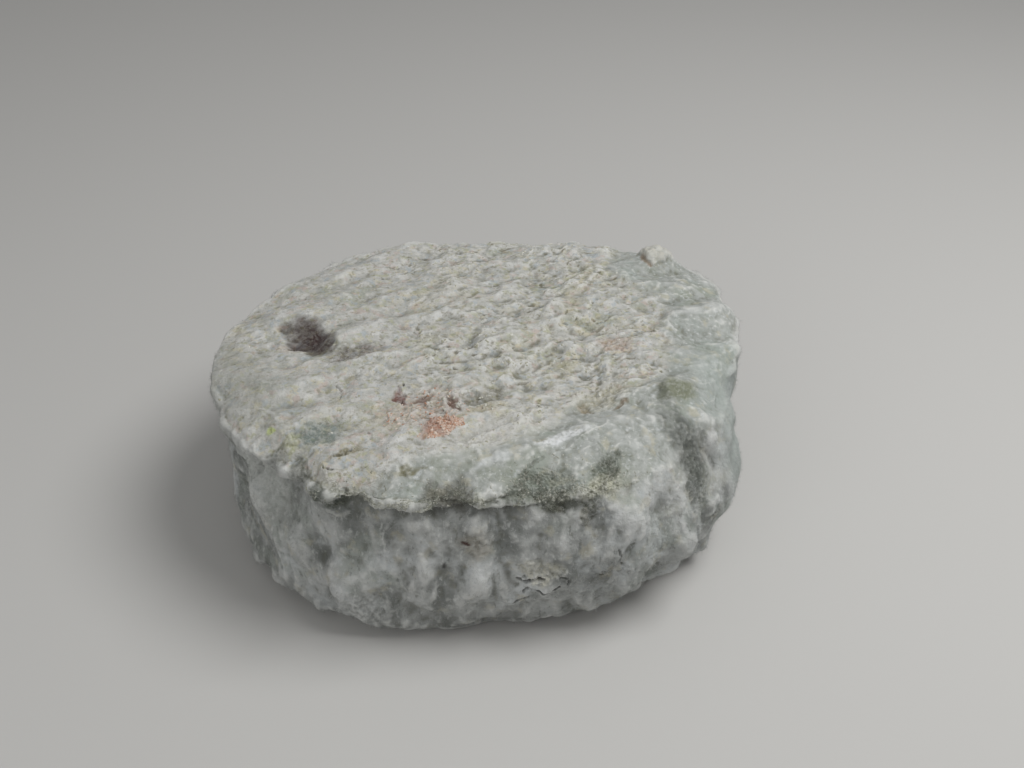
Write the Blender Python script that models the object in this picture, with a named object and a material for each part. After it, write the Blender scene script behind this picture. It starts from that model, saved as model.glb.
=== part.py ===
"""A whole tomme: one low round cheese under a lumpy, mould-grown rind, standing on its flat underside.

Metres, +Z up. The origin is the middle of the underside, and -Y is the front.
Angles run anticlockwise from +X as seen from above, so the front is at 270 degrees.
"""

import math

import bmesh
import bpy
import numpy as np

# Driving dimensions of the wheel
meanRadius = 0.100  # of the rim, seen from above
height = 0.069  # of the rim above the underside, on average
crown = 0.0010  # rise of the middle of the top above the rim
shoulder = 0.012  # width of the soft edge of the top
lipDepth = 0.0150  # from the top down to the crease below the lip
creaseDepth = 0.0028  # of the crease where the lip hangs over the side
bellyRise = 0.45  # height of the belly, as a share of the wheel's
bellyShare = 0.976  # radius of the belly, as a share of the mean radius
footShare = 0.861  # radius of the flat underside, as a share of the mean radius
turnUnder = 0.004  # bulge of the edge where the side turns under
turnRise = 0.11  # height of that edge, as a share of the wheel's

# How far each ring is from round: (waves round the ring, share of the size, angle of a crest)
rimWaves = [(2, 0.065, 24), (3, 0.014, 35), (4, 0.031, 40), (5, 0.015, 30)]
bellyWaves = [(1, 0.003, 180), (2, 0.017, 131), (3, 0.037, 80), (4, 0.029, 53)]
footWaves = [(1, 0.023, 149), (2, 0.026, 31), (3, 0.020, 109), (4, 0.019, 69)]
topWaves = [(1, 0.033, 300), (2, 0.011, 68)]
shoulderWaves = [(1, 0.35, 300)]
lipWaves = [(2, 0.26, 150)]
overhangWaves = [(1, 0.55, 225), (2, 0.25, 235)]

# The relief of the rind
swellSize, swellRise = 0.040, 0.0020
lumpSize, lumpRise = 0.019, 0.0013
dimpleSize, dimpleDepth = 0.016, 0.0030
foldSize, foldRise, foldStretch, foldAngle = 0.013, 0.0017, 3.0, 33
footFade = 0.012  # the relief dies away over this height, so that the underside stays flat

# Single lumps and hollows: the middle, the spread along the folds, across them and upwards, and the lift
marks = {
    "gully right of the front": ((0.075, -0.056, 0.054), (0.007, 0.011, 0.019), -0.0060),
    "bulge beside the gully": ((0.091, -0.034, 0.044), (0.012, 0.012, 0.022), 0.0024),
    "knob on the back of the rim": ((0.073, 0.066, 0.069), (0.007, 0.006, 0.009), 0.0044),
    "hump over the gully": ((0.071, -0.036, 0.068), (0.009, 0.007, 0.010), 0.0022),
    "long ridge across the front": ((0.000, -0.051, 0.068), (0.026, 0.004, 0.010), 0.0018),
    "trough behind the ridge": ((0.012, -0.036, 0.068), (0.014, 0.004, 0.010), -0.0022),
    "hole in the pink patch": ((-0.027, -0.040, 0.069), (0.005, 0.004, 0.010), -0.0020),
    "brown hollow on the left": ((-0.064, -0.003, 0.068), (0.007, 0.012, 0.010), -0.0028),
    "dark hollow in the front lip": ((-0.010, -0.089, 0.065), (0.009, 0.006, 0.005), -0.0024),
    "grey hollow in the right lip": ((0.024, -0.086, 0.063), (0.012, 0.006, 0.005), -0.0024),
    "flat on the right of the rim": ((0.092, 0.036, 0.060), (0.014, 0.014, 0.016), -0.0034),
    "flat on the left of the foot": ((-0.062, -0.064, 0.016), (0.014, 0.014, 0.012), -0.0036),
    "ledge in the left lip": ((-0.046, -0.083, 0.066), (0.012, 0.005, 0.004), 0.0020),
}

# The mesh
capCells = 44  # squares across the top
sideRows = 17  # rows of squares from the shoulder to the underside


def hashed(cell, seed):
    """Three repeatable random numbers from 0 to 1 for each whole-numbered cell."""
    x, y, z = (cell[..., k].astype(np.int64) for k in range(3))
    h = (x * 374761393 + y * 668265263 + z * 1440662683 + seed * 974634777) & 0xFFFFFFFF
    h = ((h ^ (h >> 13)) * 1274126177) & 0xFFFFFFFF
    h = ((h ^ (h >> 16)) * 2246822519) & 0xFFFFFFFF
    h ^= h >> 15
    return np.stack([h & 1023, (h >> 10) & 1023, (h >> 20) & 1023], -1) / 1023


def smooth(x, low, high):
    """0 below low, 1 above high, and an even S between them."""
    t = np.clip((x - low) / (high - low), 0, 1)
    return t * t * (3 - 2 * t)


def softNoise(points, size, seed):
    """Gradient noise of about -1 to 1, with lumps about size across."""
    p = points / size
    cell = np.floor(p)
    f = p - cell
    w = smooth(f, 0, 1)
    total = np.zeros(len(p))
    for corner in np.ndindex(2, 2, 2):
        slope = hashed(cell + corner, seed) * 2 - 1
        total += np.prod(np.where(corner, w, 1 - w), axis=1) * ((f - corner) * slope).sum(1)
    return total * 1.6


def cellDistance(points, size, seed):
    """Distance to the nearest of scattered points, one to each cell of that size, as a share of it."""
    p = points / size
    cell = np.floor(p)
    nearest = np.full(len(p), 9.0)
    for corner in np.ndindex(3, 3, 3):
        c = cell + corner - 1
        nearest = np.minimum(nearest, np.linalg.norm(c + hashed(c, seed) - p, axis=1))
    return nearest


def ring(angle, size, share, waves):
    """A size at an angle round the wheel: a share of it that rises and falls in waves."""
    for count, rise, crest in waves:
        share = share + rise * np.cos(count * (angle - math.radians(crest)))
    return size * share


def profile(angle):
    """The radii and heights that the surface runs through at an angle, from the top's middle to the foot."""
    rim = ring(angle, meanRadius, 1, rimWaves)
    belly = ring(angle, meanRadius, bellyShare, bellyWaves)
    foot = ring(angle, meanRadius, footShare, footWaves)
    top = ring(angle, height, 1, topWaves)
    edge = ring(angle, shoulder, 1, shoulderWaves)
    lip = ring(angle, lipDepth, 1, lipWaves)
    overhang = np.clip(ring(angle, creaseDepth, 0.4, overhangWaves), 0, None)
    points = [
        (0 * rim, height + crown + 0 * top),  # the middle of the top
        (0.45 * rim, height + 0.8 * crown + 0 * top),
        (0.78 * rim, 0.4 * height + 0.6 * top),  # the top has begun to lean
        (rim - edge, top - 0.1 * edge),  # the start of the shoulder
        (rim - 0.10 * edge, top - 0.58 * edge),  # the lip
        (0.5 * (rim + belly) - overhang, top - lip),  # the crease below it
        (belly, bellyRise * top),
        (foot + 0.35 * (belly - foot) + turnUnder, turnRise * top),  # the side turns under
        (foot, 0 * top),
    ]
    return np.array([r for r, _ in points]), np.array([z for _, z in points])


def knots():
    """How far along the profile each of its points lies, on the front of the wheel."""
    radii, heights = profile(np.array([math.radians(270)]))
    steps = np.hypot(np.diff(radii[:, 0]), np.diff(heights[:, 0]))
    return np.concatenate([[0], np.cumsum(steps)])


def surface(angle, along):
    """Points of the bare form, each at an angle and a distance along the profile."""
    at = knots()
    k = np.clip(np.searchsorted(at, along, "right") - 1, 0, len(at) - 2)
    span = at[k + 1] - at[k]
    t = (along - at[k]) / span
    pick = np.arange(len(angle))

    def curve(v):
        slope = np.empty_like(v)
        slope[1:-1] = (v[2:] - v[:-2]) / (at[2:] - at[:-2])[:, None]
        slope[0] = (v[1] - v[0]) / (at[1] - at[0])
        slope[-1] = (v[-1] - v[-2]) / (at[-1] - at[-2])
        start, step = v[k, pick], v[k + 1, pick] - v[k, pick]
        leave, arrive = slope[k, pick] * span, slope[k + 1, pick] * span
        return start + leave * t + (3 * step - 2 * leave - arrive) * t**2 + (leave + arrive - 2 * step) * t**3

    radii, heights = profile(angle)
    radius = curve(radii)
    return np.stack([radius * np.cos(angle), radius * np.sin(angle), curve(heights)], 1)


def relief(p, facingUp):
    """How far the rind stands out from the bare form: folds where it faces up, dimples down the side."""
    turn = math.radians(foldAngle)
    axes = np.array([[math.cos(turn), math.sin(turn), 0], [-math.sin(turn), math.cos(turn), 0], [0, 0, 1]])
    lined = p @ axes.T  # along the folds, across them, and up
    lift = swellRise * softNoise(p, swellSize, seed=3) + lumpRise * softNoise(p, lumpSize, seed=4)
    lift += facingUp * foldRise * softNoise(lined / (foldStretch, 1, 1), foldSize, seed=6)
    dimples = smooth(cellDistance(p, dimpleSize, seed=5), 0.05, 0.8) - 0.6  # deepest at the scattered points
    lift += (1 - facingUp) * dimpleDepth * dimples
    for place, spread, rise in marks.values():
        away = (lined - axes @ place) / spread
        lift += rise * np.exp(-(away**2).sum(1))
    return lift * smooth(p[:, 2], 0, footFade)


def moveTo(bm, points):
    for v, p in zip(bm.verts, points):
        v.co = p
    bm.normal_update()


def makeWheel():
    bm = bmesh.new()
    bmesh.ops.create_grid(bm, x_segments=capCells, y_segments=capCells, size=1)
    rows = [list(bm.verts)]
    edge = [e for e in bm.edges if e.is_boundary]
    for _ in range(sideRows):
        made = bmesh.ops.extrude_edge_only(bm, edges=edge)["geom"]
        edge = [e for e in made if isinstance(e, bmesh.types.BMEdge) and e.is_boundary]
        rows.append([v for v in made if isinstance(v, bmesh.types.BMVert)])
    bmesh.ops.holes_fill(bm, edges=edge, sides=0)
    bm.verts.index_update()

    # Every row still lies on the square's outline, so pressing the square into a disc gives all the angles.
    square = np.array([v.co[:2] for v in bm.verts])
    disc = square * np.sqrt(1 - square[:, ::-1] ** 2 / 2)
    angle = np.arctan2(disc[:, 1], disc[:, 0])
    row = np.zeros(len(square))
    for number, verts in enumerate(rows):
        row[[v.index for v in verts]] = number
    at = knots()
    edgeOfTop, foot = at[3], at[-1]
    along = np.hypot(*disc.T) * edgeOfTop
    along = np.where(row > 0, edgeOfTop + (foot - edgeOfTop) * row / sideRows, along)
    points = surface(angle, along)
    moveTo(bm, points)
    bmesh.ops.recalc_face_normals(bm, faces=bm.faces)

    normals = np.array([v.normal for v in bm.verts])
    points += normals * relief(points, smooth(normals[:, 2], 0.3, 0.8))[:, None]
    points[row == sideRows, 2] = 0
    points[:, :2] -= (points[:, :2].min(0) + points[:, :2].max(0)) / 2
    moveTo(bm, points)
    bmesh.ops.triangulate(bm, faces=bm.faces)

    mesh = bpy.data.meshes.new("tomme_wheel")
    bm.to_mesh(mesh)
    bm.free()
    mesh.shade_smooth()
    wheel = bpy.data.objects.new("tomme_wheel", mesh)
    bpy.context.collection.objects.link(wheel)
    return wheel


def coatWithRind(wheel):
    rind = bpy.data.materials.new("mould_grown_rind")
    rind.use_nodes = True
    shader = rind.node_tree.nodes["Principled BSDF"]
    shader.inputs["Base Color"].default_value = (0.50, 0.50, 0.45, 1)
    shader.inputs["Roughness"].default_value = 0.95
    wheel.data.materials.append(rind)


for leftover in list(bpy.data.objects):
    bpy.data.objects.remove(leftover)
coatWithRind(makeWheel())
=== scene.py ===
import math

import bmesh
import bpy
import numpy as np
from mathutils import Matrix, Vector, noise


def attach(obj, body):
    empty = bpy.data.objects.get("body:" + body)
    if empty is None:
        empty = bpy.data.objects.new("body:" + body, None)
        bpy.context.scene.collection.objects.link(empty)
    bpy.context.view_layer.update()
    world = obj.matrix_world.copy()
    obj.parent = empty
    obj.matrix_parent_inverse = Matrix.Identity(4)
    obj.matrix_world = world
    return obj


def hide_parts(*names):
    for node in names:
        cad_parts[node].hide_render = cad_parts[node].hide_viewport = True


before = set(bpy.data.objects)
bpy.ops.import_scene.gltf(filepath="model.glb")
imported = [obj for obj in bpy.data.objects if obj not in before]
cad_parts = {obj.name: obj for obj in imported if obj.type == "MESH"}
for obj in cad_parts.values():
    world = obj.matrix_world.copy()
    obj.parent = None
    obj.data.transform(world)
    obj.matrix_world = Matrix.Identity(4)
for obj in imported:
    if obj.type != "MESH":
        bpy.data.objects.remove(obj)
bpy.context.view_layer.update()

noise.seed_set(7)  # without it the vector noise differs from run to run
coarser = 1


def smooth(x, low, high):  # 0 below low, 1 above high, an even S between
    t = np.clip((x - low) / (high - low), 0, 1)
    return t * t * (3 - 2 * t)


def within(x, rise, fall):  # climbs from 0 to 1 over the first pair, and falls back over the second
    return smooth(x, *rise) * (1 - smooth(x, *fall))


def inMetres(millimetres):
    return np.array(millimetres) / 1000


def sampled(function, points, share, size, stretch=(1, 1, 1), seed=0.0):
    # a noise whose lumps are size across, worked out only where its share counts
    values = np.zeros(len(points))
    chosen = np.flatnonzero(share > 0.001)
    places = points[chosen] / (np.array(stretch) * size) + seed
    values[chosen] = [function(p) for p in places.tolist()]
    return values


def lumps(points, share, size, stretch=(1, 1, 1), seed=0.0, octaves=2, keep=0.75):
    # lumps on lumps, each finer kind keeping so much of the height before it
    return sampled(lambda p: noise.fractal(p, keep, 2.1, octaves), points, share, size, stretch, seed)


def warped(points, size, reach, seed=0.0):  # the points, pushed about by a noise
    places = (points / size + seed).tolist()
    return points + reach * np.array([noise.noise_vector(p) for p in places])


def getPoints(mesh):
    points = np.empty(len(mesh.vertices) * 3, np.float32)
    mesh.vertices.foreach_get("co", points)
    return points.reshape(-1, 3).astype(float)


def setPoints(mesh, points):
    mesh.vertices.foreach_set("co", points.astype(np.float32).ravel())
    mesh.update()


def getNormals(mesh):
    normals = np.empty(len(mesh.vertices) * 3, np.float32)
    mesh.vertex_normals.foreach_get("vector", normals)
    return normals.reshape(-1, 3).astype(float)


def getEnds(mesh):  # the two points of each edge
    ends = np.empty(len(mesh.edges) * 2, np.int32)
    mesh.edges.foreach_get("vertices", ends)
    return ends.reshape(-1, 2)


def setField(mesh, name, values):  # a number for each point, which the materials read
    mesh.attributes.new(name, "FLOAT", "POINT").data.foreach_set("value", values.astype(np.float32))


def addObject(name, data):
    made = bpy.data.objects.new(name, data)
    bpy.context.scene.collection.objects.link(made)
    return made


class Wire:
    # a socket that Python's own arithmetic turns into Math nodes
    def __init__(self, finish, socket):
        self.finish = finish
        self.socket = socket

    def math(self, operation, *values):
        return self.finish.node("ShaderNodeMath", {"operation": operation}, dict(enumerate(values)))

    def __add__(self, other):
        return self.math("ADD", self, other)

    def __radd__(self, other):
        return self.math("ADD", other, self)

    def __sub__(self, other):
        return self.math("SUBTRACT", self, other)

    def __rsub__(self, other):
        return self.math("SUBTRACT", other, self)

    def __mul__(self, other):
        return self.math("MULTIPLY", self, other)

    def __rmul__(self, other):
        return self.math("MULTIPLY", other, self)

    def ramp(self, low, high):  # 0 below low, 1 above high, smooth between
        return self.finish.node("ShaderNodeMapRange", {"interpolation_type": "SMOOTHSTEP"},
                                {"Value": self, "From Min": low, "From Max": high})


class Finish:
    # a material round its Principled shader
    def __init__(self, name):
        self.material = bpy.data.materials.new(name)
        self.material.use_nodes = True
        self.tree = self.material.node_tree
        self.shader = self.tree.nodes["Principled BSDF"]

    def node(self, kind, settings={}, inputs={}, output=0):
        made = self.tree.nodes.new(kind)
        for name, value in settings.items():
            setattr(made, name, value)
        self.feed(made, inputs)
        return Wire(self, made.outputs[output])

    def feed(self, node, inputs):  # a value or a wire for each of the node's named sockets
        for name, value in inputs.items():
            if isinstance(value, Wire):
                self.tree.links.new(value.socket, node.inputs[name])
            else:
                node.inputs[name].default_value = value

    def field(self, name):  # a number that setField gave the mesh
        return self.node("ShaderNodeAttribute", {"attribute_name": name}, {}, "Fac")

    def blend(self, below, above, share):  # two colours, mixed by a share
        return self.node("ShaderNodeMix", {"data_type": "RGBA"}, {0: share, 6: below, 7: above}, 2)


def tone(red, green, blue):  # a colour as the eye names it, 0 to 255, made linear
    parts = (red / 255, green / 255, blue / 255)
    linear = (v / 12.92 if v <= 0.04 else ((v + 0.055) / 1.055) ** 2.4 for v in parts)
    return (*linear, 1)


rind = {
    "cell": 0.00056,  # edge of the mesh's squares
    # smaller squares in these patches, and this near to a crack
    "fineNear": ("pink curd", "front lip hollow", "right lip hollow", "far lip hollow", "cream crust"),
    "fineReach": 0.0022,
    "foldAngle": 33,  # the way the folds of the top run, in degrees from +X
    "waxLine": (-0.070, 0.60),  # the top is waxy in front of this line: its y at x = 0, and its slope
    "waxRight": (0.058, 0.072),  # and from here on to the right
    "drift": (0.020, 0.012),  # how wide the bends of both are, and how far they swing
    "footFade": 0.005,  # the relief fades out below this height, so that the wheel stands flat
    # relief in metres: how wide the lumps of each kind are, and how high or deep
    "ridge": (0.0150, 0.0017),
    "swell": (0.0080, 0.0011),
    "curd": (0.0046, 0.0010),
    "grain": (0.0017, 0.00022),
    "pit": (0.0028, 0.0010),
    "slit": (0.0024, 0.0003),
    "fold": (0.0130, 0.0022),
    "waxLump": (0.0048, 0.0005),
    "waxGrain": (0.0020, 0.00022),
    "wrinkle": (0.0085, 0.0003),
    "dent": (0.0135, 0.0040),
    "tuft": (0.0070, 0.0013),
    "wool": (0.0026, 0.00024),
    "crust": (0.0120, 0.0022),
    "lipLump": (0.0034, 0.0012),
    "lipGrain": (0.0013, 0.0005),
    "fuzz": (0.0013, 0.0008),
}

# the lip that hangs over in front; its ends are angles round the wheel from +X, each as a slope
lip = {
    "edge": 0.0606,  # height of its lower edge
    "waver": (0.009, 0.0009),  # how wide that edge's waves are, and how high
    "hang": 0.0009,  # how far it stands out
    "groove": 0.0011,  # how deep the wall is cut below it
    "start": (238, 250),
    "end": (280, 298),
    "crustStart": (236, 243),
    "faceEnd": (294, 310),
}

# the rim on the left, pushed in and down so that it rounds over without a lip
leftRim = {"start": (188, 210), "end": (232, 242), "inward": 0.0054, "downward": 0.0022}

# patches of other moulds, and of painted shade, painted shadow and painted light: the middle, and the reach
# along the folds, across them and upwards, in mm; then the tone, how much it covers, how gritty it stands,
# and how many mm it sinks in
patches = {
    "pink curd": {"at": (-12.5, -64.5, 72), "reach": (7.6, 3.6, 8),
                  "tone": (176, 122, 94), "cover": 0.85, "grit": 0.8},
    "pink blush": {"at": (-18, -53, 71), "reach": (15, 12, 8),
                   "tone": (190, 172, 160), "cover": 0.45, "grit": 0.8},
    "chalky band": {"at": (8, -64, 71), "reach": (24, 9, 8),
                    "tone": (220, 219, 213), "cover": 0.45, "grit": 0.3},
    "grey rim": {"at": (-90, -30, 64), "reach": (16, 42, 12),
                 "tone": (142, 144, 134), "cover": 0.4, "grit": 0.15},
    "tan streak": {"at": (1, -53, 71), "reach": (9, 2.6, 7),
                   "tone": (174, 164, 134), "cover": 0.65, "grit": 0.8},
    "frost on the flank": {"at": (29, -70, 71), "reach": (9, 2.8, 6),
                           "tone": (228, 230, 231), "cover": 0.8, "grit": 0.8},
    "frost on the ledge": {"at": (6, -80, 70), "reach": (7, 2, 6),
                           "tone": (208, 211, 210), "cover": 0.7, "grit": 0.3},
    "smooth right side": {"at": (93, -28, 46), "reach": (22, 30, 30),
                          "tone": (162, 171, 166), "cover": 0.65, "grit": 0.2},
    # painted shade on the lower right wall
    "right wall painted shade": {"at": (52, -84, 26), "reach": (26, 16, 16),
                         "tone": (104, 107, 104), "cover": 0.35, "grit": 0.4},
    "brown pit": {"at": (-27, -44, 70), "reach": (2.2, 5.5, 8),
                  "tone": (112, 66, 54), "cover": 0.9, "grit": 0.6, "sink": 0.8},
    "brown slit": {"at": (-19, -46, 71), "reach": (4, 1.8, 8),
                   "tone": (106, 78, 68), "cover": 0.85, "grit": 0.5, "sink": 0.9},
    "brown nick": {"at": (-8, -50, 71), "reach": (2, 4, 8),
                   "tone": (110, 80, 66), "cover": 0.85, "grit": 0.5, "sink": 1.0},
    # brown mould, partly painted shadow
    "brown hollow and painted shadow": {"at": (-65, -1, 69), "reach": (8, 14, 8),
                     "tone": (48, 26, 22), "cover": 1.0, "grit": 0.35, "sink": 1.3},
    "peach edge": {"at": (-74, -7, 67), "reach": (4.5, 6, 8),
                   "tone": (186, 168, 150), "cover": 0.5, "grit": 0.9},
    # painted shadow, partly dark mould
    "grey hollow and painted shadow": {"at": (-47, -15, 70), "reach": (11, 6, 8),
                    "tone": (100, 93, 88), "cover": 0.75, "grit": 0.9, "sink": 0.6},
    # painted shadow, partly brownish mould
    "dark nook and painted shadow": {"at": (3, -43, 70), "reach": (8, 4, 8),
                  "tone": (126, 122, 106), "cover": 0.6, "grit": 0.9, "sink": 0.7},
    "pink spot": {"at": (52, -8, 70), "reach": (7, 6, 8),
                  "tone": (184, 156, 136), "cover": 0.55, "grit": 1.0},
    "brown speckle": {"at": (37.7, -48.7, 71), "reach": (2, 3.6, 8),
                      "tone": (132, 112, 86), "cover": 0.6, "grit": 1.0, "sink": 0.4},
    "straw lump": {"at": (33, -20, 70), "reach": (5, 4, 7),
                   "tone": (170, 165, 130), "cover": 0.7, "grit": 0.6, "sink": -0.8},
    "tan grit": {"at": (44, -42, 70), "reach": (11, 7, 7),
                 "tone": (184, 177, 154), "cover": 0.5, "grit": 1.0},
    "tan nick": {"at": (50.6, -49, 70.3), "reach": (2.4, 1.6, 6),
                 "tone": (124, 106, 84), "cover": 0.85, "grit": 0.8, "sink": 0.6},
    "teal": {"at": (-54, -67, 70), "reach": (9, 6.5, 7),
             "tone": (108, 122, 116), "cover": 0.85, "grit": 0.7},
    "lime dot": {"at": (-72.7, -62.3, 69), "reach": (2.2, 2, 4),
                 "tone": (186, 198, 120), "cover": 0.8, "grit": 0.6},
    "lime streak": {"at": (-65, -72, 69), "reach": (7, 2.8, 6),
                    "tone": (178, 182, 142), "cover": 0.6, "grit": 0.8},
    # painted shade in the notch of the left rim
    "notch with painted shade": {"at": (-61, -82, 66), "reach": (3.2, 6, 6),
                   "tone": (92, 95, 84), "cover": 0.8, "grit": 0.6, "sink": 0.5},
    # painted shade under the left rim
    "painted shade under the left rim": {"at": (-71, -77, 65), "reach": (5, 4, 6),
                  "tone": (108, 111, 104), "cover": 0.65, "grit": 0.5, "sink": 0.2},
    "left pit": {"at": (-78, -63, 52.7), "reach": (1.8, 1.8, 3.2),
                 "tone": (52, 54, 48), "cover": 0.95, "grit": 0.2, "sink": 0.6},
    # painted light on the upper left wall, which lies in shade
    "left shoulder painted light": {"at": (-79, -68, 50), "reach": (14, 14, 16),
                      "tone": (204, 206, 202), "cover": 0.65, "grit": 0.6},
    "pale foot": {"at": (-40, -92, 15), "reach": (13, 8, 7),
                  "tone": (198, 200, 198), "cover": 0.5, "grit": 0.8},
    "olive hump": {"at": (72, -39.8, 71.5), "reach": (8, 5.5, 9),
                   "tone": (112, 116, 90), "cover": 0.88, "grit": 0.6, "sink": -0.7},
    # painted shadow at the lower left edge of the raised olive hump
    "painted shadow beside the olive hump": {"at": (66, -43, 71), "reach": (3.2, 5.5, 6),
                    "tone": (94, 98, 84), "cover": 0.85, "grit": 0.5},
    "olive spot": {"at": (-21, -85.3, 70), "reach": (3.6, 1.5, 4),
                   "tone": (120, 116, 84), "cover": 0.85, "grit": 0.9, "sink": 0.4},
    "olive streak": {"at": (-43.5, -77.5, 70), "reach": (5, 1.5, 5),
                     "tone": (128, 121, 86), "cover": 0.75, "grit": 0.7},
    # painted shade in the gully and at its foot
    "painted shade of the gully": {"at": (73, -60, 59), "reach": (7.5, 16, 15),
              "tone": (74, 78, 72), "cover": 0.9, "grit": 0.5},
    "gully foot": {"at": (76, -68, 48), "reach": (6, 8, 11),
                   "tone": (92, 96, 90), "cover": 0.75, "grit": 0.8},
    "cream knob": {"at": (73, 63, 71), "reach": (5.5, 5, 9),
                   "tone": (190, 184, 166), "cover": 0.5, "grit": 1.0, "sink": -1.9},
    "knob pit": {"at": (69, 58, 71), "reach": (1.6, 2, 6),
                 "tone": (138, 114, 90), "cover": 0.65, "grit": 0.5, "sink": 0.2},
    # painted shadow under the lip, partly dark mould
    "left lip hollow and painted shadow": {"at": (-49, -91, 61), "reach": (10, 6, 5),
                        "tone": (74, 80, 70), "cover": 0.95, "grit": 0.6, "sink": 0.5},
    "lip fold": {"at": (-40, -91, 61), "reach": (6, 5, 5),
                 "tone": (132, 134, 125), "cover": 0.5, "grit": 0.8, "sink": -0.2},
    "front lip hollow": {"at": (-9, -93, 64), "reach": (10, 6.5, 6),
                         "tone": (86, 84, 74), "cover": 0.88, "grit": 0.6, "sink": 0.2},
    "right lip hollow": {"at": (21, -88, 64), "reach": (12, 7, 5),
                         "tone": (106, 112, 100), "cover": 0.8, "grit": 0.8},
    "far lip hollow": {"at": (44, -79, 66), "reach": (8, 3, 4),
                       "tone": (108, 115, 104), "cover": 0.85, "grit": 1.0},
    "cream crust": {"at": (42, -85, 63), "reach": (9, 5, 4),
                    "tone": (196, 194, 172), "cover": 0.6, "grit": 0.8},
    # painted shadow under the lip
    "painted shadow under lip": {"at": (28, -92, 59), "reach": (15, 5, 2.4),
                       "tone": (70, 74, 62), "cover": 0.85, "grit": 1.0},
    "dark corner": {"at": (37, -90, 54), "reach": (4, 4, 5),
                    "tone": (84, 86, 76), "cover": 0.75, "grit": 1.0},
    "yellow lip": {"at": (2, -94, 63), "reach": (3, 3, 2.4),
                   "tone": (176, 176, 146), "cover": 0.5, "grit": 0.8},
    "peach side": {"at": (1, -95, 47), "reach": (6, 4, 7),
                   "tone": (170, 164, 150), "cover": 0.55, "grit": 0.7},
    "brown side dot": {"at": (-3, -95.3, 45.8), "reach": (1.3, 1.3, 1.2),
                       "tone": (70, 44, 38), "cover": 1.0, "grit": 0.1},
    "black side dot": {"at": (-10, -94.6, 35.4), "reach": (1.1, 1.1, 1.1),
                       "tone": (62, 62, 58), "cover": 0.9, "grit": 0.1},
    "cream flakes": {"at": (22, -95, 34), "reach": (8, 5, 4.5),
                     "tone": (210, 207, 190), "cover": 0.65, "grit": 1.0},
}

# cracks and creases of the crust: a path of points, its depth, and the rise beside it, in millimetres
cracks = {
    "upper wall crack": {"path": ((14, -95, 31), (16, -95, 29), (19, -96, 30.5), (23, -95.5, 31.5)),
                         "depth": 1.4, "rise": 0.7},
    "loop above it": {"path": ((16, -95, 31.2), (17, -95, 32), (18, -95, 31)),
                      "depth": 0.8, "rise": 0.3},
    "middle wall crack": {"path": ((16, -95, 24.5), (18, -95, 27), (21, -95, 27),
                                   (25, -95, 25.5), (28, -95, 27.5)),
                          "depth": 1.3, "rise": 0.7},
    "lower wall crack": {"path": ((13, -94, 19), (16, -94, 20), (18, -94, 22)),
                         "depth": 1.2, "rise": 0.6},
    "right nick": {"path": ((29, -95, 32), (31.5, -94.5, 30.5), (31, -94.5, 28)),
                   "depth": 0.55, "rise": 0.3},
    "far nick": {"path": ((42.5, -93, 33), (43.5, -93, 31), (42.8, -93.5, 29)),
                 "depth": 0.6, "rise": 0.4},
    "tall crease": {"path": ((47.5, -91.5, 41), (48.5, -91, 35), (50, -90, 32)),
                    "depth": 0.5, "rise": 0.3},
    "left flake": {"path": ((-50, -84, 68), (-46, -85, 68), (-42, -87, 67), (-39.5, -89, 66), (-39, -92, 64)),
                   "depth": 1.2, "rise": 0.8},
    "flake under it": {"path": ((-48, -87, 66), (-44, -89, 66), (-41, -91, 65)),
                       "depth": 1.0, "rise": 0.5},
    "left crack": {"path": ((-47, -79, 70), (-44, -78, 70), (-41, -75, 70)), "depth": 0.7, "rise": 0.3},
    "left ray of the pit": {"path": ((-27, -47, 70), (-28.4, -38, 70)), "depth": 0.9, "rise": 0.2},
    "middle ray of the pit": {"path": ((-27, -47, 70), (-26.5, -36, 70)), "depth": 0.9, "rise": 0.2},
    "right ray of the pit": {"path": ((-27, -47, 70), (-24.8, -38, 70)), "depth": 0.9, "rise": 0.2},
    "short crease": {"path": ((-36.5, -67, 71), (-34.5, -71, 71), (-31.5, -72, 71)),
                     "depth": 0.5, "rise": 0.2},
    "curved crease": {"path": ((-51, -35, 70), (-49, -39, 70), (-48.5, -46, 70)),
                      "depth": 0.4, "rise": 0.2},
    "ledge crease": {"path": ((18.5, -82.5, 68), (20, -80.5, 69), (22.5, -79, 69.5)),
                     "depth": 0.4, "rise": 0.3},
    "flank arc": {"path": ((34, -71, 71), (40, -72, 70), (42.5, -75, 69), (42, -80, 66)),
                  "depth": 0.1, "rise": 0.3},
}

turn = math.radians(rind["foldAngle"])
foldAxes = np.array([[math.cos(turn), math.sin(turn), 0], [-math.sin(turn), math.cos(turn), 0], [0, 0, 1]])


def distanceToPath(points, path):  # how far each point is from the nearest stretch of the path
    nearest = np.full(len(points), 1.0)
    for start, end in zip(path[:-1], path[1:]):
        along = end - start
        share = np.clip((points - start) @ along / (along @ along), 0, 1)
        nearest = np.minimum(nearest, np.linalg.norm(points - start - share[:, None] * along, axis=1))
    return nearest


def refineWhereFine(mesh):  # at the thin cracks and the finest patches
    points = getPoints(mesh)
    near = np.zeros(len(points), bool)
    for crack in cracks.values():
        near |= distanceToPath(points, inMetres(crack["path"])) < rind["fineReach"]
    for name in rind["fineNear"]:
        away = (points - inMetres(patches[name]["at"])) / inMetres(patches[name]["reach"])
        near |= (away**2).sum(1) < 1.2
    bm = bmesh.new()
    bm.from_mesh(mesh)
    bm.verts.ensure_lookup_table()
    edges = [e for e in bm.edges if near[e.verts[0].index] and near[e.verts[1].index]]
    bmesh.ops.subdivide_edges(bm, edges=edges, cuts=2, use_grid_fill=True)
    bm.to_mesh(mesh)
    bm.free()


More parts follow.
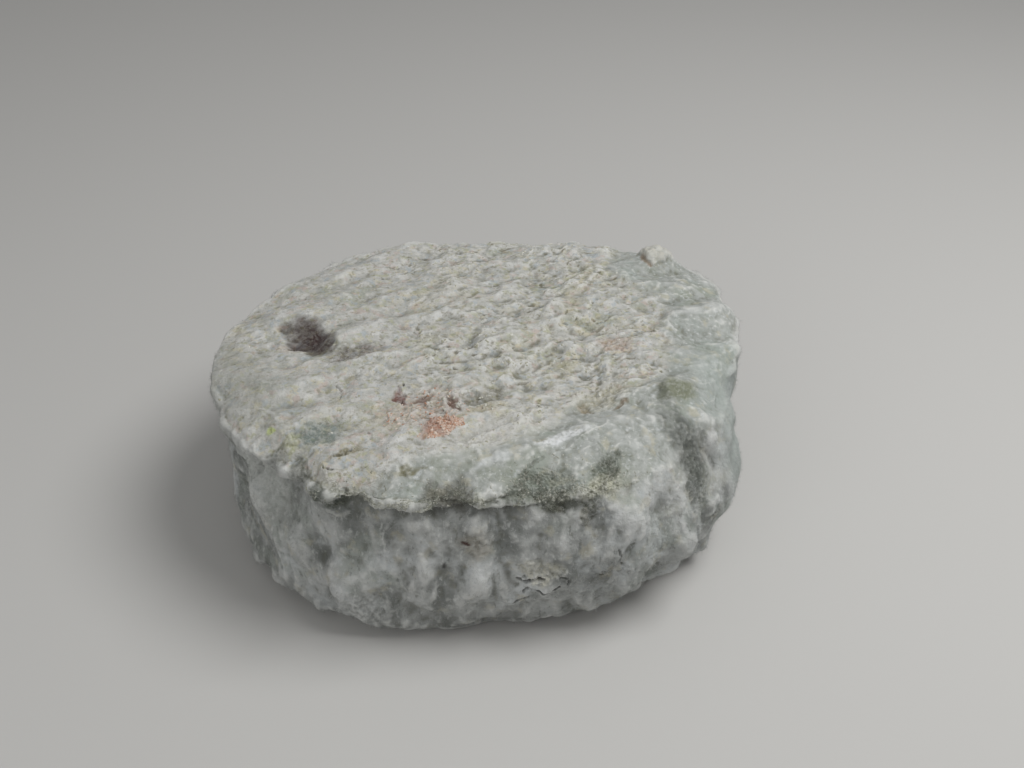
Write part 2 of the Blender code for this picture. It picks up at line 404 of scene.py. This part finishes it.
def skinFromFrame():  # the plain wheel, rounded and laid out in small even squares
    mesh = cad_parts["tomme_wheel"].data.copy()
    bm = bmesh.new()
    bm.from_mesh(mesh)
    bmesh.ops.remove_doubles(bm, verts=bm.verts, dist=0.00001)
    bm.to_mesh(mesh)
    bm.free()
    skin = addObject("rind", mesh)
    rounder = skin.modifiers.new("rounder", "SUBSURF")
    rounder.levels = rounder.render_levels = 2
    squares = skin.modifiers.new("squares", "REMESH")
    squares.mode = "VOXEL"
    squares.voxel_size = rind["cell"] * coarser
    softer = skin.modifiers.new("softer", "SMOOTH")
    softer.factor = 0.5
    softer.iterations = 12
    graph = bpy.context.evaluated_depsgraph_get()
    made = bpy.data.meshes.new_from_object(skin.evaluated_get(graph))
    skin.modifiers.clear()
    skin.data = made
    made.materials.clear()
    refineWhereFine(made)
    made.shade_smooth()
    return skin


def hollowsOf(mesh, points, normals, reaches):
    # how many millimetres each point lies below its surroundings, evened out over each reach
    ends = getEnds(mesh)
    neighbours = np.bincount(ends.ravel(), minlength=len(points))
    even, times, depths = points.copy(), 0, []
    for reach in reaches:
        wanted = round(1.6 * (reach / rind["cell"] / coarser) ** 2)
        for _ in range(times, wanted):
            for axis in range(3):
                total = np.bincount(ends[:, 0], even[ends[:, 1], axis], len(points))
                total += np.bincount(ends[:, 1], even[ends[:, 0], axis], len(points))
                even[:, axis] = total / neighbours
        times = max(times, wanted)
        depths.append(1000 * ((even - points) * normals).sum(1))
    return depths


def spreadOf(mesh, points):  # the patch of skin that each point stands for, in square metres
    ends = getEnds(mesh)
    lengths = np.linalg.norm(points[ends[:, 0]] - points[ends[:, 1]], axis=1)
    total = np.bincount(ends[:, 0], lengths, len(points)) + np.bincount(ends[:, 1], lengths, len(points))
    return (total / np.bincount(ends.ravel(), minlength=len(points))) ** 2


def zonesOfSkin(points, normals):
    # the front right of the top and its right edge are waxy; the rest is dry, most curdled in the middle
    x, y = points[:, 0], points[:, 1]
    top = smooth(normals[:, 2], 0.25, 0.75)
    driftSize, driftReach = rind["drift"]
    drift = driftReach * sampled(noise.noise, points, np.ones(len(points)), driftSize)
    lineStart, lineSlope = rind["waxLine"]
    waxFront = smooth(lineStart + lineSlope * x + drift - y, -0.004, 0.006)
    waxRight = smooth(x + 0.10 * y + 1.5 * drift, *rind["waxRight"])
    wax = top * np.maximum(waxFront, waxRight)
    patchwork = smooth(sampled(noise.noise, points, top, 0.016, seed=21.0), -0.25, 0.30)
    curdled = (0.25 + 0.75 * smooth(x + 2 * drift, -0.045, -0.010)) * (0.3 + 0.7 * patchwork)
    return {"top": top, "wax": wax, "dry": top - wax, "side": 1 - top, "curdled": curdled}


def relief(kind, points, share, stretch=(1, 1, 1), seed=0.0, octaves=2, keep=0.75):
    size, height = rind[kind]
    return share * height * lumps(points, share, size, stretch, seed, octaves, keep)


def reliefOfTop(points, zones):  # and where its pits and slits are
    dry, wax, curdled = zones["dry"], zones["wax"], zones["curdled"]
    bent = warped(warped(points @ foldAxes.T, 0.016, 0.0030), 0.005, 0.0009, 5.0)
    lift = relief("ridge", bent, zones["top"], (1.4, 1, 1), 16.0)
    calmLeft = 0.6 + 0.4 * smooth(points[:, 0], -0.05, 0.0)
    lift += calmLeft * relief("swell", bent, dry, (1.2, 1, 1), 1.0)
    lift += curdled * relief("curd", bent, dry, (1.25, 1, 1), 3.0, keep=0.8)
    lift += (0.4 + 0.6 * curdled) * relief("grain", bent, dry, seed=5.0, keep=0.5)

    pitSize, pitDepth = rind["pit"]
    flocks = smooth(lumps(bent, dry, 0.020, seed=12.0, octaves=1), -0.15, 0.25)
    pits = dry * curdled * flocks * smooth(lumps(bent, dry, pitSize, (1.2, 1, 1), 6.0), 0.48, 0.72)
    slitSize, slitDepth = rind["slit"]
    slits = smooth(lumps(bent, dry, slitSize, (2.0, 0.8, 1), 8.0), 0.52, 0.72) * dry * (0.2 + 0.8 * curdled)
    lift -= pitDepth * pits + slitDepth * slits

    lift += relief("fold", bent, wax, (1.7, 1, 1), 9.0, octaves=1)
    lift += relief("waxLump", bent, wax, seed=2.0) + relief("waxGrain", bent, wax, seed=27.0)
    wrinkleSize, wrinkleHeight = rind["wrinkle"]
    line = sampled(lambda p: 1 - abs(noise.noise(p)), bent, wax, wrinkleSize, (2.4, 1, 1), 3.0)
    some = smooth(lumps(bent, wax, 0.016, seed=14.0), 0.0, 0.4)
    lift += wax * wrinkleHeight * some * smooth(line, 0.90, 1.0)
    return lift, np.maximum(pits, slits)


def reliefOfSide(points, zones):
    x, y, z = points.T
    calm = 1 - 0.55 * smooth(x, 0.080, 0.090) * smooth(-y, -0.02, 0.02)  # the right side is the smoothest
    side = zones["side"] * calm
    upright = warped(points * (1, 1, 0.72), 0.012, 0.0025)  # makes the dents taller than wide
    lift = relief("dent", upright, side, seed=2.0, octaves=1) + relief("tuft", upright, side, seed=4.0)
    woolly = 1 - 0.7 * smooth(z, 0.056, 0.064)
    return lift + woolly * relief("wool", points, side, seed=7.0, keep=0.5)


def reliefOfLip(points, normals, zones):  # and the shade under it, and where its face is
    x, y, z = points.T
    angle = np.degrees(np.arctan2(y, x)) % 360
    crust = smooth(z, 0.055, 0.062) * (1 - smooth(normals[:, 2], 0.55, 0.95))
    crust *= smooth(angle, *lip["crustStart"])
    lift = relief("crust", points, crust, seed=17.0)

    # it hangs down to a crisp edge, with a groove under it
    sector = within(angle, lip["start"], lip["end"]) * zones["side"]
    waveSize, waveHeight = lip["waver"]
    below = lip["edge"] + waveHeight * lumps(points, sector, waveSize, seed=19.0, octaves=3) - z
    lift += lip["hang"] * sector * within(below, (-0.0065, -0.0020), (-0.0002, 0.0008))
    lift -= lip["groove"] * sector * within(below, (0.0, 0.0010), (0.0015, 0.0070))
    # painted shadow under the lip's edge
    shade = sector * within(below, (0.0, 0.0008), (0.0010, 0.0060))

    face = crust * (1 - smooth(below, -0.0004, 0.0004)) * (1 - smooth(angle, *lip["faceEnd"]))
    lift += relief("lipLump", points, face, seed=23.0, octaves=3)
    lift += relief("lipGrain", points, face, seed=25.0)
    return lift, shade, face


def reliefOfCracks(points):  # with a raised edge on both sides; and how dark they are
    ragged = warped(points, 0.0016, 0.0006, 41.0)
    breaks = lumps(points, np.ones(len(points)), 0.0026, seed=43.0, octaves=1)
    uneven = 0.35 + 0.65 * smooth(breaks, -0.25, 0.10)
    lift, dark = np.zeros(len(points)), np.zeros(len(points))
    for crack in cracks.values():
        gap = distanceToPath(ragged, inMetres(crack["path"]))
        lift += 0.001 * crack["rise"] * within(gap, (0.0002, 0.0008), (0.0008, 0.0034))
        lift -= 0.001 * crack["depth"] * uneven * (1 - smooth(gap, 0.0001, 0.0009))
        dark = np.maximum(dark, uneven * min(1, crack["depth"] ** 2) * (1 - smooth(gap, 0.0002, 0.0009)))
    return lift, dark


def reliefOfPatches(points):  # and how much of each patch lies on every point
    fuzzSize, fuzzHeight = rind["fuzz"]
    fuzz = fuzzHeight * lumps(points, np.ones(len(points)), fuzzSize, seed=11.0, keep=0.5)
    pushed = warped(points, 0.0070, 0.0036, 31.0) + 0.0014 * (warped(points, 0.0022, 1.0, 37.0) - points)
    lift, shares = np.zeros(len(points)), {}
    for name, patch in patches.items():
        away = (pushed - inMetres(patch["at"])) @ foldAxes.T / inMetres(patch["reach"])
        shares[name] = 1 - smooth((away**2).sum(1), 0.15, 1.7)
        lift += shares[name] * (patch["grit"] * fuzz - 0.001 * patch.get("sink", 0))
    return lift, shares


def pushOfLeftRim(points):
    x, y, z = points.T
    radius = np.hypot(x, y)
    sector = within(np.degrees(np.arctan2(y, x)) % 360, leftRim["start"], leftRim["end"])
    inward = leftRim["inward"] * sector * smooth(z, 0.038, 0.064) * smooth(radius, 0.084, 0.103)
    downward = leftRim["downward"] * sector * smooth(z, 0.052, 0.064) * smooth(radius, 0.086, 0.104)
    return np.stack([-inward * x / radius, -inward * y / radius, -downward], 1)


def shapeSkin(skin):
    mesh = skin.data
    points, normals = getPoints(mesh), getNormals(mesh)
    zones = zonesOfSkin(points, normals)
    foot = smooth(points[:, 2], 0.0003, rind["footFade"])
    topLift, pits = reliefOfTop(points, zones)
    print("top curdled")
    lipLift, paintedShadeUnderLip, lipFace = reliefOfLip(points, normals, zones)
    lift = topLift + reliefOfSide(points, zones) + lipLift
    print("side and lip made")
    crackLift, crackLine = reliefOfCracks(points)
    patchLift, shares = reliefOfPatches(points)
    lift += crackLift + patchLift
    print("cracks and patches made")
    moved = points + normals * (lift * foot)[:, None] + pushOfLeftRim(points)
    setPoints(mesh, moved)

    normals = getNormals(mesh)
    fine, middle, wide = hollowsOf(mesh, moved, normals, (0.0010, 0.0022, 0.0045))
    # the band near the floor and the strip under the lip carry painted shade
    fields = {"wax": zones["wax"], "side": zones["side"], "pits": pits, "cracks": crackLine,
              "paintedShadeUnderLip": paintedShadeUnderLip, "lipFace": lipFace, "paintedShadeAtFoot": 1 - smooth(points[:, 2], 0.003, 0.020),
              "fine": fine, "middle": middle, "wide": wide}
    for name, values in fields.items():
        setField(mesh, name, values)
    for name, share in shares.items():
        setField(mesh, "patch " + name, share)
    print("hollows measured")
    return {"points": moved, "normals": normals, "dry": zones["dry"], "side": zones["side"],
            "curdled": zones["curdled"], "patches": shares, "foot": foot, "lipFace": lipFace,
            "hollow": middle, "spread": spreadOf(mesh, moved)}


# tones of the mould, 0 to 255, with the painted shade and painted highlight laid over it
moulds = {
    "dry shade": (176, 177, 171), "dry light": (204, 203, 198),
    "dry straw": (198, 192, 168), "dry sage": (156, 162, 146),
    "wax shade": (146, 150, 143), "wax light": (173, 176, 172),
    "wax olive": (140, 146, 130), "wax mint": (158, 168, 163),
    "wax frost": (204, 208, 210), "wax straw": (188, 183, 160),
    "wall shade": (124, 127, 124), "wall light": (184, 186, 184),
    "wall sage": (156, 163, 155), "wall slate": (100, 102, 98),
    "wall frost": (206, 210, 211), "wall straw": (186, 180, 158),
    "wall dark streak": (92, 95, 88), "wall pale streak": (214, 216, 213),
    # the foot tone is painted shade near the floor
    "lip face": (140, 143, 132), "foot": (102, 104, 100),
    # the hollow tones are painted shade, partly darker mould; the crest tones are painted highlight, partly
    # paler bloom
    "hollow": (88, 91, 86), "fine hollow mould and shade": (112, 110, 90),
    "crest bloom and highlight": (222, 223, 221), "fine crest": (224, 224, 218),
    "ochre speck": (126, 120, 90), "pale speck": (216, 217, 213),
    # the tone under the lip is painted shade
    "pit": (104, 96, 72), "painted shade under the lip": (86, 88, 82), "crack": (52, 50, 42),
}

# small blots on the dry top: the tone, how wide they are in metres, and where their noise starts
dryBlots = {
    "cream": {"tone": (204, 196, 166), "size": 0.0042, "seed": 2.1},
    "rose": {"tone": (196, 178, 168), "size": 0.0042, "seed": 3.3},
    "blue": {"tone": (172, 182, 188), "size": 0.0042, "seed": 4.7},
    "white": {"tone": (220, 220, 217), "size": 0.0060, "seed": 6.1},
    "lime": {"tone": (176, 177, 142), "size": 0.0030, "seed": 7.3},
    "ochre": {"tone": (142, 138, 116), "size": 0.0022, "seed": 8.9},
}


def rindFinish():
    finish = Finish("mould rind")
    place = finish.node("ShaderNodeTexCoord", output="Object")

    def cloud(size, detail=4.0, rough=0.55, seed=0.0, tall=1.0):  # a noise with lumps of this size
        moved = finish.node("ShaderNodeVectorMath", {"operation": "MULTIPLY_ADD"},
                            {0: place, 1: (1, 1, 1 / tall), 2: (seed, seed, seed)})
        return finish.node("ShaderNodeTexNoise", {}, {"Vector": moved, "Scale": 1 / size, "Detail": detail,
                                                      "Roughness": rough}, "Fac")

    def over(below, name, share):
        return finish.blend(below, tone(*moulds[name]), share)

    wax, side = finish.field("wax"), finish.field("side")
    fine, middle, wide = finish.field("fine"), finish.field("middle"), finish.field("wide")
    broad = cloud(0.030, 4, 0.55, 0.1)
    other = cloud(0.022, 4, 0.55, 0.9)
    patchy = cloud(0.011, 5, 0.6, 0.3)
    mottle = cloud(0.0050, 5, 0.65, 0.5)
    speck = cloud(0.0018, 4, 0.7, 0.7)

    # the dry part of the top
    dryTone = finish.blend(tone(*moulds["dry shade"]), tone(*moulds["dry light"]), mottle.ramp(0.36, 0.62))
    dryTone = over(dryTone, "dry straw", (broad * 0.5 + patchy * 0.5).ramp(0.5, 0.64) * 0.55)
    dryTone = over(dryTone, "dry sage", (other * 0.5 + patchy * 0.5).ramp(0.53, 0.63) * 0.55)
    for blot in dryBlots.values():
        share = cloud(blot["size"], 3, 0.6, blot["seed"]).ramp(0.56, 0.66) * 0.6
        dryTone = finish.blend(dryTone, tone(*blot["tone"]), share)

    # the waxy part
    waxTone = finish.blend(tone(*moulds["wax shade"]), tone(*moulds["wax light"]), mottle.ramp(0.38, 0.62))
    waxTone = over(waxTone, "wax olive", (other * 0.5 + patchy * 0.5).ramp(0.50, 0.60) * 0.55)
    waxTone = over(waxTone, "wax mint", (broad * 0.6 + patchy * 0.4).ramp(0.52, 0.62) * 0.4)
    waxTone = over(waxTone, "wax frost", (1 - mottle * 0.6 - speck * 0.4).ramp(0.52, 0.64) * 0.5)
    waxTone = over(waxTone, "wax straw", cloud(0.0060, 3, 0.6, 5.5).ramp(0.56, 0.68) * 0.5)

    # the wall, with blots and streaks that are taller than wide
    blots = cloud(0.0110, 3, 0.45, 1.7, 1.5) * 0.85 + mottle * 0.15
    wallTone = finish.blend(tone(*moulds["wall shade"]), tone(*moulds["wall light"]), blots.ramp(0.36, 0.62))
    wallTone = over(wallTone, "wall sage", other.ramp(0.5, 0.62) * 0.5)
    wallTone = over(wallTone, "wall slate", (patchy * 0.5 + broad * 0.5).ramp(0.51, 0.64) * 0.5)
    wallTone = over(wallTone, "wall frost", (1 - patchy * 0.5 - broad * 0.5).ramp(0.51, 0.62) * 0.6)
    streak = cloud(0.0024, 4, 0.7, 2.9, 2.2)
    wallTone = over(wallTone, "wall dark streak", streak.ramp(0.55, 0.68) * 0.55)
    wallTone = over(wallTone, "wall pale streak", (1 - streak).ramp(0.55, 0.68) * 0.5)
    wallTone = over(wallTone, "wall straw", cloud(0.0070, 4, 0.6, 9.7).ramp(0.57, 0.68) * 0.4)

    colour = finish.blend(finish.blend(dryTone, waxTone, wax), wallTone, side)
    colour = over(colour, "lip face", finish.field("lipFace") * (0.5 + mottle.ramp(0.4, 0.6) * 0.45))
    # painted shade, darker towards the floor
    colour = over(colour, "foot", finish.field("paintedShadeAtFoot") * 0.55)

    # darker in the hollows and paler on the crests: painted shade and painted highlight, partly darker mould
    # in the hollows and paler bloom on the crests
    low = middle * 0.6 + wide * 0.4
    colour = over(colour, "hollow", low.ramp(0.05, 0.9) * (0.45 + side * 0.15))
    colour = over(colour, "fine hollow mould and shade", fine.ramp(0.02, 0.22) * (0.42 - 0.22 * side))
    colour = over(colour, "crest bloom and highlight", (0 - low).ramp(0.08, 0.7) * (0.5 - wax * 0.15 - side * 0.1))
    colour = over(colour, "fine crest", (0 - fine).ramp(0.03, 0.20) * (0.38 - side * 0.18))
    colour = over(colour, "ochre speck", speck.ramp(0.60, 0.74) * (1 - side) * (1 - wax * 0.5) * 0.7)
    colour = over(colour, "pale speck", (1 - speck).ramp(0.56, 0.70) * (0.5 - side * 0.3))
    colour = over(colour, "pit", finish.field("pits") * 0.6)
    # painted shade under the overhanging lip
    colour = over(colour, "painted shade under the lip", finish.field("paintedShadeUnderLip") * (0.4 + patchy.ramp(0.4, 0.6) * 0.35))

    grit = (speck * 0.7 + mottle * 0.3).ramp(0.42, 0.58)
    for name, patch in patches.items():
        share = finish.field("patch " + name) * patch["cover"] * (1 - patch["grit"] * 0.6 * grit)
        colour = finish.blend(colour, tone(*patch["tone"]), share)
    colour = over(colour, "crack", finish.field("cracks") * 0.85)

    height = speck * (1 - wax * 0.6) + cloud(0.0008, 4, 0.75, 1.3) * (0.6 - wax * 0.3)
    bump = finish.node("ShaderNodeBump", {}, {"Strength": 1.0, "Distance": 0.0008, "Height": height})
    finish.feed(finish.shader, {"Base Color": colour, "Roughness": 0.95 - wax * (0.22 + mottle * 0.3),
                                "Normal": bump, "Sheen Weight": 0.10, "Sheen Roughness": 0.6,
                                "Specular IOR Level": 0.3})
    return finish.material


print("skinning the wheel")
skin = skinFromFrame()
print("rind of", len(skin.data.polygons), "squares")
surface = shapeSkin(skin)
skin.data.materials.append(rindFinish())
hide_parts("tomme_wheel")
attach(skin, "root")
print("rind finished")


# small grains of curd that stand on the rind; sizes in metres
crumbs = {
    "rind_crumbs": {"count": 900, "size": (0.00026, 0.00052), "long": 1.9, "sunk": 0.45,
                    "dark": (160, 158, 138), "pale": (210, 210, 202)},
    "pink_crumbs": {"count": 1500, "size": (0.00022, 0.00044), "long": 2.6, "sunk": 0.3,
                    "dark": (178, 132, 106), "pale": (214, 202, 190)},
    "lip_crumbs": {"count": 1800, "size": (0.00016, 0.00030), "long": 2.6, "sunk": 0.4,
                   "dark": (132, 133, 120), "pale": (192, 192, 183)},
}

# fine mould hairs; sizes in metres
down = {
    "pale_down": {"count": 21000, "length": (0.0007, 0.0020), "thick": 0.000050,
                  "dark": (150, 152, 148), "pale": (206, 208, 205)},
    "dark_down": {"count": 4000, "length": (0.0007, 0.0017), "thick": 0.000040,
                  "dark": (104, 108, 92), "pale": (184, 186, 176)},
}


def chosenSpots(weights, count, dice):  # points of the skin, picked by weight and by the skin round them
    weights = weights * surface["spread"]
    return dice.choice(len(weights), count, p=weights / weights.sum())


def turnedAxes(normals, dice):  # two directions along the skin at each spot, turned at random
    first = np.cross(normals, dice.normal(size=normals.shape))
    first /= np.linalg.norm(first, axis=1)[:, None]
    return first, np.cross(normals, first)


def shadedPiece(name, points, faces, shade, settings):
    points[:, 2] = np.maximum(points[:, 2], 0.0001)  # nothing reaches through the floor
    mesh = bpy.data.meshes.new(name)
    mesh.from_pydata(points.tolist(), [], faces)
    mesh.shade_smooth()
    setField(mesh, "shade", shade)
    piece = addObject(name, mesh)
    finish = Finish(name)
    colour = finish.blend(tone(*settings["dark"]), tone(*settings["pale"]), finish.field("shade"))
    finish.feed(finish.shader, {"Base Color": colour, "Roughness": 0.95, "Specular IOR Level": 0.25})
    mesh.materials.append(finish.material)
    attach(piece, "root")
    print(name, "of", len(faces), "faces")


def scatterCrumbs(name, weights, seed):
    settings = crumbs[name]
    dice = np.random.default_rng(seed)
    count = settings["count"]
    spots = chosenSpots(weights, count, dice)
    normals = surface["normals"][spots]
    first, second = turnedAxes(normals, dice)
    bm = bmesh.new()
    bmesh.ops.create_icosphere(bm, subdivisions=2, radius=1)
    ball = np.array([v.co for v in bm.verts])
    ballFaces = np.array([[v.index for v in f.verts] for f in bm.faces])
    bm.free()
    places = ball[None] * 0.9 + dice.uniform(0, 90, (count, 1, 3))  # a stretch of noise for each crumb
    swell = np.array([noise.noise(p) for p in places.reshape(-1, 3).tolist()]).reshape(count, -1, 1)
    sizes = dice.uniform(*settings["size"], (count, 1))
    sizes = sizes * dice.uniform((1.0, 0.7, 0.6), (settings["long"], 1.0, 0.9), (count, 3))
    local = ball[None] * (1 + 0.5 * swell) * sizes[:, None]
    axes = np.stack([first, second, normals], 1)
    middles = surface["points"][spots] - normals * settings["sunk"] * sizes[:, 2:]
    points = np.einsum("nvk,nkj->nvj", local, axes) + middles[:, None]
    faces = (ballFaces[None] + len(ball) * np.arange(count)[:, None, None]).reshape(-1, 3).tolist()
    shade = np.repeat(dice.uniform(0, 1, count), len(ball))
    shadedPiece(name, points.reshape(-1, 3), faces, shade, settings)


def growDown(name, weights, seed):
    settings = down[name]
    dice = np.random.default_rng(seed)
    count = settings["count"]
    spots = chosenSpots(weights, count, dice)
    normals = surface["normals"][spots]
    first, second = turnedAxes(normals, dice)
    length = dice.uniform(*settings["length"], (count, 1))
    lean = dice.uniform(0.3, 1.2, (count, 1))
    root = surface["points"][spots] + dice.uniform(-0.0003, 0.0003, (count, 3)) - 0.0001 * normals
    corners = []
    for share in (0, 0.55):  # a ring of three at the root and one half-way, then the tip
        middle = root + length * (normals * share * (1 - 0.4 * lean * share) + first * lean * share**2)
        for turned in (0, 2.094, 4.189):
            spoke = first * math.cos(turned) + second * math.sin(turned)
            corners.append(middle + spoke * settings["thick"] * (1 - 0.7 * share))
    corners.append(root + length * (normals * (1 - 0.4 * lean) + first * lean))
    points = np.stack(corners, 1).reshape(-1, 3)
    strand = [(0, 1, 4, 3), (1, 2, 5, 4), (2, 0, 3, 5), (3, 4, 6), (4, 5, 6), (5, 3, 6)]
    faces = [tuple(len(corners) * n + k for k in face) for n in range(count) for face in strand]
    shade = np.repeat(dice.uniform(0, 1, count), len(corners))
    shadedPiece(name, points, faces, shade, settings)


shares = surface["patches"]
raised = 0.02 + smooth(-surface["hollow"], -0.1, 0.25)
tufty = smooth(sampled(noise.noise, surface["points"], surface["side"] + 1, 0.0035), -0.1, 0.3)
lipHollows = shares["front lip hollow"] + shares["right lip hollow"] + shares["far lip hollow"]
lipHollows += shares["painted shadow under lip"] + 0.6 * shares["left lip hollow and painted shadow"] + 0.5 * shares["dark corner"]
bareNames = ("pink curd", "brown hollow and painted shadow", "grey hollow and painted shadow", "brown pit", "painted shade of the gully", "left pit")
clear = 1 - np.maximum.reduce([shares[name] for name in bareNames])
lipClear = np.clip(1 - shares["left lip hollow and painted shadow"], 0.15, 1) * (surface["points"][:, 1] < -0.06)
scatterCrumbs("rind_crumbs", surface["dry"] * surface["curdled"] ** 2 * raised * clear**4, 3)
scatterCrumbs("pink_crumbs", shares["pink curd"] ** 2 * tufty + 0.005 * shares["pink blush"], 4)
scatterCrumbs("lip_crumbs", surface["lipFace"] * tufty * lipClear, 7)
growDown("pale_down", surface["foot"] * (surface["side"] + 0.15 * surface["dry"]) * raised * clear, 5)
growDown("dark_down", surface["foot"] * lipHollows**2 * tufty, 6)


studio = {
    "floorTone": (196, 195, 192),
    "floorHalf": 3.0,
    "worldLight": 0.295,
    "aim": (0, 0, 0.03),  # where both lights look
    "key": {"place": (0.50, -0.08, 0.88), "size": 0.6, "watts": 6.4},
    "fill": {"place": (-0.5, -1.0, 0.5), "size": 0.9, "watts": 2.5},
    "lens": 43.6,
    "cameraPlace": (0.0122, -0.4081, 0.3155),
    "cameraDown": 33.4,  # degrees below level
}


def makeFloor():
    half = studio["floorHalf"]
    corners = [(-half, -half, 0), (half, -half, 0), (half, half, 0), (-half, half, 0)]
    mesh = bpy.data.meshes.new("floor")
    mesh.from_pydata(corners, [], [(0, 1, 2, 3)])
    floor = addObject("floor", mesh)
    finish = Finish("pale floor")
    finish.feed(finish.shader, {"Base Color": tone(*studio["floorTone"]), "Roughness": 0.9})
    mesh.materials.append(finish.material)


def addSoftLight(name):
    settings = studio[name]
    data = bpy.data.lights.new(name, "AREA")
    data.shape = "DISK"
    data.size = settings["size"]
    data.energy = settings["watts"]
    light = addObject(name, data)
    light.location = settings["place"]
    ahead = Vector(studio["aim"]) - light.location
    light.rotation_euler = ahead.to_track_quat("-Z", "Y").to_euler()


def makeAir():  # even light from all round
    world = bpy.data.worlds.new("studio air")
    bpy.context.scene.world = world
    world.use_nodes = True
    air = world.node_tree.nodes["Background"]
    air.inputs["Color"].default_value = (1, 1, 1, 1)
    air.inputs["Strength"].default_value = studio["worldLight"]
    bpy.context.scene.view_settings.view_transform = "Standard"


def makeCamera():
    data = bpy.data.cameras.new("camera")
    data.lens = studio["lens"]
    camera = addObject("camera", data)
    camera.location = studio["cameraPlace"]
    camera.rotation_euler = (math.radians(90 - studio["cameraDown"]), 0, 0)
    bpy.context.scene.camera = camera


makeFloor()
addSoftLight("key")
addSoftLight("fill")
makeAir()
makeCamera()
print("studio lit")
